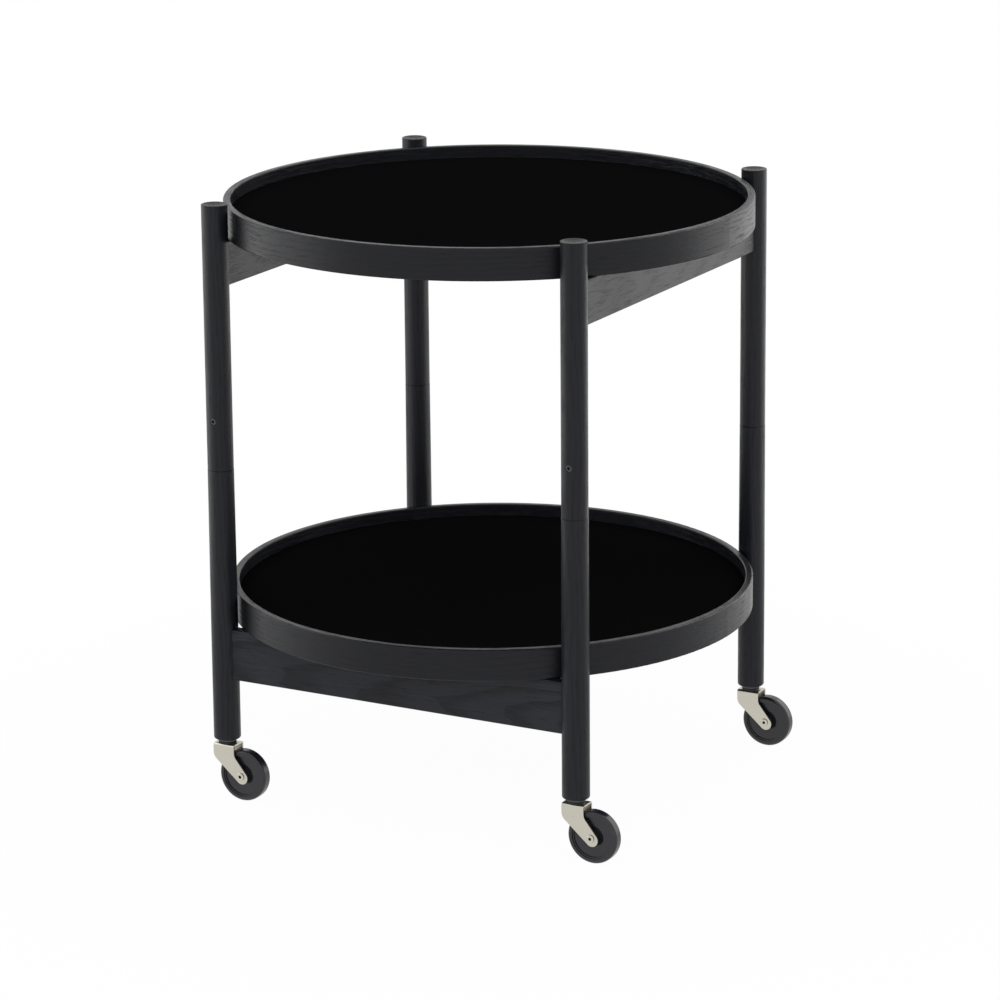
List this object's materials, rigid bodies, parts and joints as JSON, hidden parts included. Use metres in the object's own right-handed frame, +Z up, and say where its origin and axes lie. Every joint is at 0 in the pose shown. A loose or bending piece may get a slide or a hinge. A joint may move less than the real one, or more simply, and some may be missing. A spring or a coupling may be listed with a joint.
{
  "type": "tray table",
  "caption": "Rolling tray table: stacked round rimmed trays lift off rails set between slim round legs, each leg split on a pivot and carried by a swivel caster.",
  "frame": {"origin": "on the floor, under the middle of the trays", "axes": "+Z up; +X from the front left leg to the front right leg, along the lower rails; +Y from the front to the back, along the upper rails"},
  "size_m": [0.4999, 0.5, 0.577],
  "materials": {
    "stained_wood": "black stained, satin lacquer, open grain",
    "board_wood": "plain board core",
    "laminate": "smooth satin laminate",
    "dowel_wood": "plain dowel",
    "steel": "turned",
    "nickel_steel": "satin nickel plate",
    "wheel_plastic": "moulded, semi-gloss",
    "ring_plastic": "moulded"
  },
  "bodies": {
    "frame": {"upper_rail_left": "stained_wood", "upper_rail_right": "stained_wood", "lower_rail_front": "stained_wood", "lower_rail_back": "stained_wood", "upper_rail_dowels": "dowel_wood", "lower_rail_dowels": "dowel_wood", "pivot_set_screws": "steel", "upper_leg_front_left": "stained_wood", "lower_leg_front_left": "stained_wood", "pivot_pin_front_left": "steel", "caster_socket_front_left": "steel", "upper_leg_front_right": "stained_wood", "lower_leg_front_right": "stained_wood", "pivot_pin_front_right": "steel", "caster_socket_front_right": "steel", "upper_leg_back_right": "stained_wood", "lower_leg_back_right": "stained_wood", "pivot_pin_back_right": "steel", "caster_socket_back_right": "steel", "upper_leg_back_left": "stained_wood", "lower_leg_back_left": "stained_wood", "pivot_pin_back_left": "steel", "caster_socket_back_left": "steel"},
    "upper_tray": {"upper_tray_rim": "stained_wood", "upper_tray_board": "board_wood", "upper_tray_top_laminate": "laminate", "upper_tray_bottom_laminate": "laminate"},
    "lower_tray": {"lower_tray_rim": "stained_wood", "lower_tray_board": "board_wood", "lower_tray_top_laminate": "laminate", "lower_tray_bottom_laminate": "laminate"},
    "caster_front_left": {"caster_stem_front_left": "steel", "caster_thrust_ring_front_left": "ring_plastic", "caster_fork_front_left": "nickel_steel", "caster_axle_front_left": "nickel_steel", "caster_sleeve_front_left": "steel"},
    "wheel_front_left": {"caster_wheel_front_left": "wheel_plastic"},
    "caster_front_right": {"caster_stem_front_right": "steel", "caster_thrust_ring_front_right": "ring_plastic", "caster_fork_front_right": "nickel_steel", "caster_axle_front_right": "nickel_steel", "caster_sleeve_front_right": "steel"},
    "wheel_front_right": {"caster_wheel_front_right": "wheel_plastic"},
    "caster_back_right": {"caster_stem_back_right": "steel", "caster_thrust_ring_back_right": "ring_plastic", "caster_fork_back_right": "nickel_steel", "caster_axle_back_right": "nickel_steel", "caster_sleeve_back_right": "steel"},
    "wheel_back_right": {"caster_wheel_back_right": "wheel_plastic"},
    "caster_back_left": {"caster_stem_back_left": "steel", "caster_thrust_ring_back_left": "ring_plastic", "caster_fork_back_left": "nickel_steel", "caster_axle_back_left": "nickel_steel", "caster_sleeve_back_left": "steel"},
    "wheel_back_left": {"caster_wheel_back_left": "wheel_plastic"}
  },
  "joints": [
    {"name": "upper_tray_lift", "type": "slide", "parent": "frame", "child": "upper_tray", "axis": [0, 0, 1], "range_m": [0, 0.08]},
    {"name": "lower_tray_lift", "type": "slide", "parent": "frame", "child": "lower_tray", "axis": [0, 0, 1], "range_m": [0, 0.29]},
    {"name": "caster_swivel_front_left", "type": "hinge", "parent": "frame", "child": "caster_front_left", "pos_m": [-0.18703, -0.18703, 0.055], "axis": [0, 0, 1], "continuous": true},
    {"name": "wheel_roll_front_left", "type": "hinge", "parent": "caster_front_left", "child": "wheel_front_left", "pos_m": [-0.16803, -0.18703, 0.025], "axis": [0, 1, 0], "continuous": true},
    {"name": "caster_swivel_front_right", "type": "hinge", "parent": "frame", "child": "caster_front_right", "pos_m": [0.18703, -0.18703, 0.055], "axis": [0, 0, 1], "continuous": true},
    {"name": "wheel_roll_front_right", "type": "hinge", "parent": "caster_front_right", "child": "wheel_front_right", "pos_m": [0.20603, -0.18703, 0.025], "axis": [0, 1, 0], "continuous": true},
    {"name": "caster_swivel_back_right", "type": "hinge", "parent": "frame", "child": "caster_back_right", "pos_m": [0.18703, 0.18703, 0.055], "axis": [0, 0, 1], "continuous": true},
    {"name": "wheel_roll_back_right", "type": "hinge", "parent": "caster_back_right", "child": "wheel_back_right", "pos_m": [0.20603, 0.18703, 0.025], "axis": [0, 1, 0], "continuous": true},
    {"name": "caster_swivel_back_left", "type": "hinge", "parent": "frame", "child": "caster_back_left", "pos_m": [-0.18703, 0.18703, 0.055], "axis": [0, 0, 1], "continuous": true},
    {"name": "wheel_roll_back_left", "type": "hinge", "parent": "caster_back_left", "child": "wheel_back_left", "pos_m": [-0.16803, 0.18703, 0.025], "axis": [0, 1, 0], "continuous": true}
  ]
}
